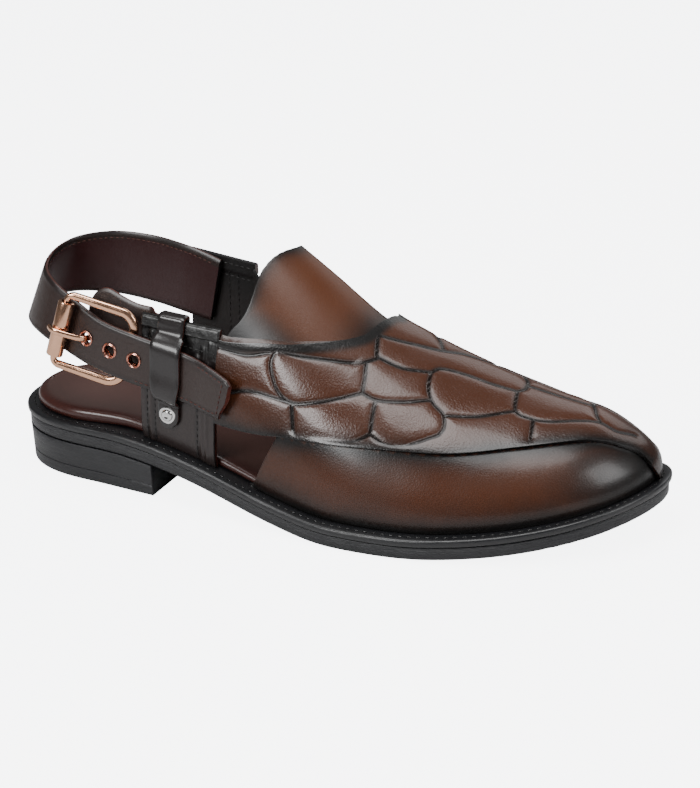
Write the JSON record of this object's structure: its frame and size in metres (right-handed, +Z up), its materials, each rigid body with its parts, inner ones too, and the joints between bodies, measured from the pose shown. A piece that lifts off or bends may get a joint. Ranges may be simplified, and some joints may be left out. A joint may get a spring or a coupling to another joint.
{
  "type": "peshawari chappal sandal",
  "caption": "Right closed-toe peshawari chappal: croc-embossed front over a smooth toe, shield tongue, slingback strap with roller buckle and keeper, low black heel.",
  "frame": {"origin": "middle of the heel's floor face", "axes": "+X toward the toe along the sole, +Y to the inner side of the foot, +Z up"},
  "size_m": [0.291, 0.1048, 0.1064],
  "materials": {
    "sole_black": "satin, fine horizontal lines on the side",
    "footbed": "glossy padded footbed",
    "burnished_brown": "burnished, glossy",
    "croc_brown": "croc embossed, glossy",
    "dark_brown": "fine grain, semi-gloss, stitched edges",
    "tan_nubuck": "matte nubuck",
    "rose_gold": "polished rose gold",
    "copper": "polished copper",
    "steel": "polished"
  },
  "bodies": {
    "root": {"outsole": "sole_black", "heel": "sole_black", "welt": "sole_black", "insole": "footbed", "upper": "burnished_brown", "overlay": "croc_brown", "tongue": "burnished_brown", "lateral_quarter": "dark_brown", "medial_quarter": "dark_brown", "back_strap": "dark_brown", "buckle_frame": "rose_gold", "buckle_roller": "rose_gold", "buckle_prong": "rose_gold", "backing_tab": "tan_nubuck", "keeper": "dark_brown", "rivet": "steel", "eyelet_1": "copper", "eyelet_2": "copper", "eyelet_3": "copper"}
  },
  "joints": []
}
